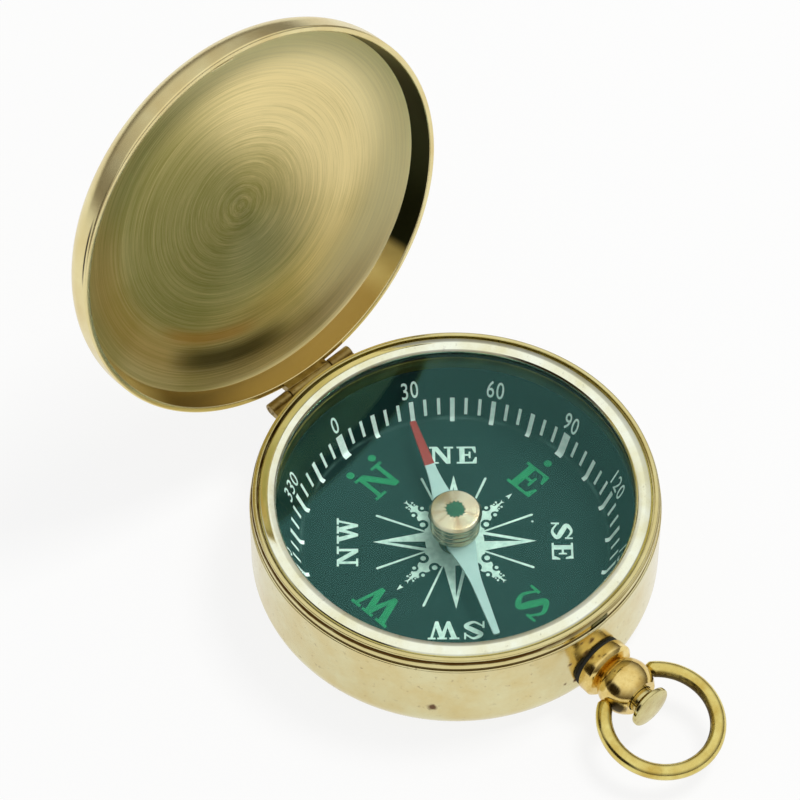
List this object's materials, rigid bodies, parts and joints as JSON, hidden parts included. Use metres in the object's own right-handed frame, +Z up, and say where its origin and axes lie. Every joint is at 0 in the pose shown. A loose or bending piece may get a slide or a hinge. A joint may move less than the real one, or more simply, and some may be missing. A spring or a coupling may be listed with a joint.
{
  "type": "pocket compass",
  "caption": "Brass pocket compass: round case with a glazed printed dial and a pivoted needle, a hinged lid held by a push-button catch, and a ring to hang it by.",
  "frame": {"origin": "centre of the case's flat bottom", "axes": "+Z up through the dial and its pivot, +Y from the pendant to the hinge, +X along the hinge pin"},
  "size_m": [0.0466, 0.0776, 0.0564],
  "materials": {
    "case_brass": "polished, lightly tarnished",
    "rim_brass": "turned, tarnished in its groove",
    "bezel_brass": "bright polished",
    "lid_brass": "polished outside, turning marks inside",
    "hinge_brass": "dull",
    "pendant_brass": "polished, tarnished in the necks",
    "button_brass": "turned",
    "bow_brass": "polished wire",
    "hub_brass": "turned",
    "inner_brass": "turned, unpolished",
    "window_glass": "clear",
    "gasket_rubber": "matt",
    "dial_enamel": "satin, printed scale and rose",
    "needle_paint": "satin, one half tipped red",
    "jewel_glass": "polished",
    "spring_steel": "bare",
    "washer_black": "matt fibre"
  },
  "bodies": {
    "case": {"case_body": "case_brass", "rim_ring": "rim_brass", "bezel": "bezel_brass", "glass": "window_glass", "glass_gasket": "gasket_rubber", "spacer_ring": "inner_brass", "dial": "dial_enamel", "dial_base": "inner_brass", "pivot_post": "inner_brass", "pivot_pin": "spring_steel", "case_knuckle_left": "hinge_brass", "case_knuckle_right": "hinge_brass", "hinge_pin": "hinge_brass", "pendant": "pendant_brass", "pendant_washer": "washer_black", "return_spring": "spring_steel"},
    "lid": {"lid_shell": "lid_brass", "lid_strike": "hinge_brass", "lid_knuckle": "hinge_brass"},
    "needle": {"needle_blade": "needle_paint", "needle_hub": "hub_brass", "jewel_bearing": "jewel_glass"},
    "button": {"push_button": "button_brass", "stem_nut": "spring_steel", "lid_catch": "spring_steel"},
    "bow": {"bow_ring": "bow_brass"}
  },
  "joints": [
    {"name": "lid_hinge", "type": "hinge", "parent": "case", "child": "lid", "pos_m": [0, 0.0235, 0.0109], "axis": [0.9987, -0.0131, 0.0489], "range_deg": [0, 102.5]},
    {"name": "needle_spin", "type": "hinge", "parent": "case", "child": "needle", "pos_m": [0, 0, 0.00615], "axis": [0, 0, 1], "continuous": true},
    {"name": "button_press", "type": "slide", "parent": "case", "child": "button", "axis": [0, 1, 0], "range_m": [0, 0.0007], "stiffness_N_per_m": 2000, "springref_m": -0.0005, "deforming": ["return_spring"]},
    {"name": "bow_swing", "type": "hinge", "parent": "case", "child": "bow", "pos_m": [0, -0.027, 0.0049], "axis": [-1, 0, 0], "range_deg": [-12.6, 106]}
  ]
}
